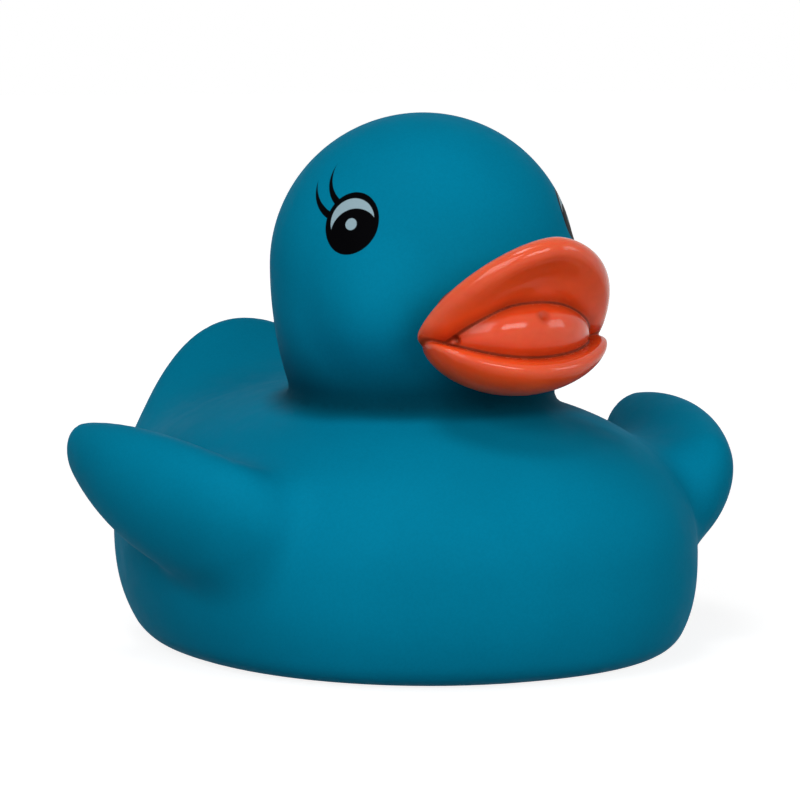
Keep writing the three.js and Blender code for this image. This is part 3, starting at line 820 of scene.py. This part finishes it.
def pale_floor():
    graph = material_graph("pale_floor")
    glow = graph.ramp(graph.vector("LENGTH", graph.place()), *FLOOR_GLOW)
    glow = graph.math("MULTIPLY", seen_directly(graph), glow)
    matt = graph.node("ShaderNodeBsdfDiffuse", {"Color": FLOOR_GREY})
    white = graph.node("ShaderNodeEmission", {"Color": WHITE, "Strength": glow})
    return graph.show(graph.node("ShaderNodeAddShader", {0: matt.outputs[0], 1: white.outputs[0]}))


def studio():
    graph = Graph(bpy.data.worlds.new("studio"), "ShaderNodeOutputWorld")
    ambient = graph.node("ShaderNodeBackground", {"Color": AMBIENT_COLOUR, "Strength": AMBIENT_STRENGTH})
    backdrop = graph.node("ShaderNodeBackground", {"Color": WHITE, "Strength": 1.0})
    shaders = {0: seen_directly(graph), 1: ambient.outputs[0], 2: backdrop.outputs[0]}
    return graph.show(graph.node("ShaderNodeMixShader", shaders))


floor_mesh = bpy.data.meshes.new("floor")
corners = [(-1, -1), (1, -1), (1, 1), (-1, 1)]
floor_mesh.from_pydata([(x * FLOOR_SIZE, y * FLOOR_SIZE, FLOOR_Z) for x, y in corners], [], [(0, 1, 2, 3)])
floor_mesh.materials.append(pale_floor())
floor = bpy.data.objects.new("floor", floor_mesh)
bpy.context.scene.collection.objects.link(floor)
floor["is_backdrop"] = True
bpy.context.scene.world = studio()


def softbox(name, place, size, power):
    """An area lamp at a place, in metres, turned to face the duck's middle."""
    lamp = bpy.data.lights.new(name, "AREA")
    lamp.shape = "RECTANGLE"
    lamp.size, lamp.size_y, lamp.energy = size[0], size[1], power
    obj = bpy.data.objects.new(name, lamp)
    obj.location = place
    obj.rotation_euler = (Vector(LAMPS_AIM) - Vector(place)).to_track_quat("-Z", "Y").to_euler()
    bpy.context.scene.collection.objects.link(obj)


LAMPS_AIM = (0, 0, 0.035)
softbox("front", (-0.08, -0.96, 0.32), (0.5, 0.3), 2.5)
softbox("left", (-0.78, -0.58, 0.48), (0.7, 0.7), 5.0)
softbox("overhead", (-0.30, -0.20, 0.95), (0.35, 0.3), 2.3)
softbox("fill", (0.75, -0.70, 0.25), (0.4, 0.4), 1.3)

# Camera: fitted to the photograph's outline, in degrees and millimetres
AZIMUTH, ELEVATION, DISTANCE, PX_PER_MM = -30.0, 5.2, 450.0, 7.95
TARGET = np.array([0.0, 0.0, 33.0])
TARGET_PX = (406.6, 383.0)
FRAME_PX, SENSOR = 800, 36.0
turn, rise = math.radians(AZIMUTH), math.radians(ELEVATION)
back = np.array([math.sin(turn) * math.cos(rise), -math.cos(turn) * math.cos(rise), math.sin(rise)])
right = np.array([math.cos(turn), math.sin(turn), 0.0])
up = np.cross(back, right)
focal_px = PX_PER_MM * DISTANCE
middle_px = FRAME_PX / 2
ahead = -back * focal_px + right * (middle_px - TARGET_PX[0]) - up * (middle_px - TARGET_PX[1])
lens = bpy.data.cameras.new("camera")
lens.sensor_width = SENSOR
lens.lens = focal_px / FRAME_PX * SENSOR
lens.clip_start, lens.clip_end = 0.01, 100.0
camera = bpy.data.objects.new("camera", lens)
camera.location = Vector((TARGET + back * DISTANCE) * MM) + Vector((0, ORIGIN_Y, 0))
camera.rotation_euler = Vector(ahead).to_track_quat("-Z", "Y").to_euler()
bpy.context.scene.collection.objects.link(camera)
bpy.context.scene.camera = camera
bpy.context.scene.view_settings.view_transform = "Standard"


def plain(value):
    if isinstance(value, dict):
        return {key: plain(item) for key, item in value.items()}
    if isinstance(value, (str, int, float, bool)) or value is None:
        return value
    return [plain(item) for item in value]


{"loaded": plain(loaded_bounds), "finished": plain(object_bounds())}
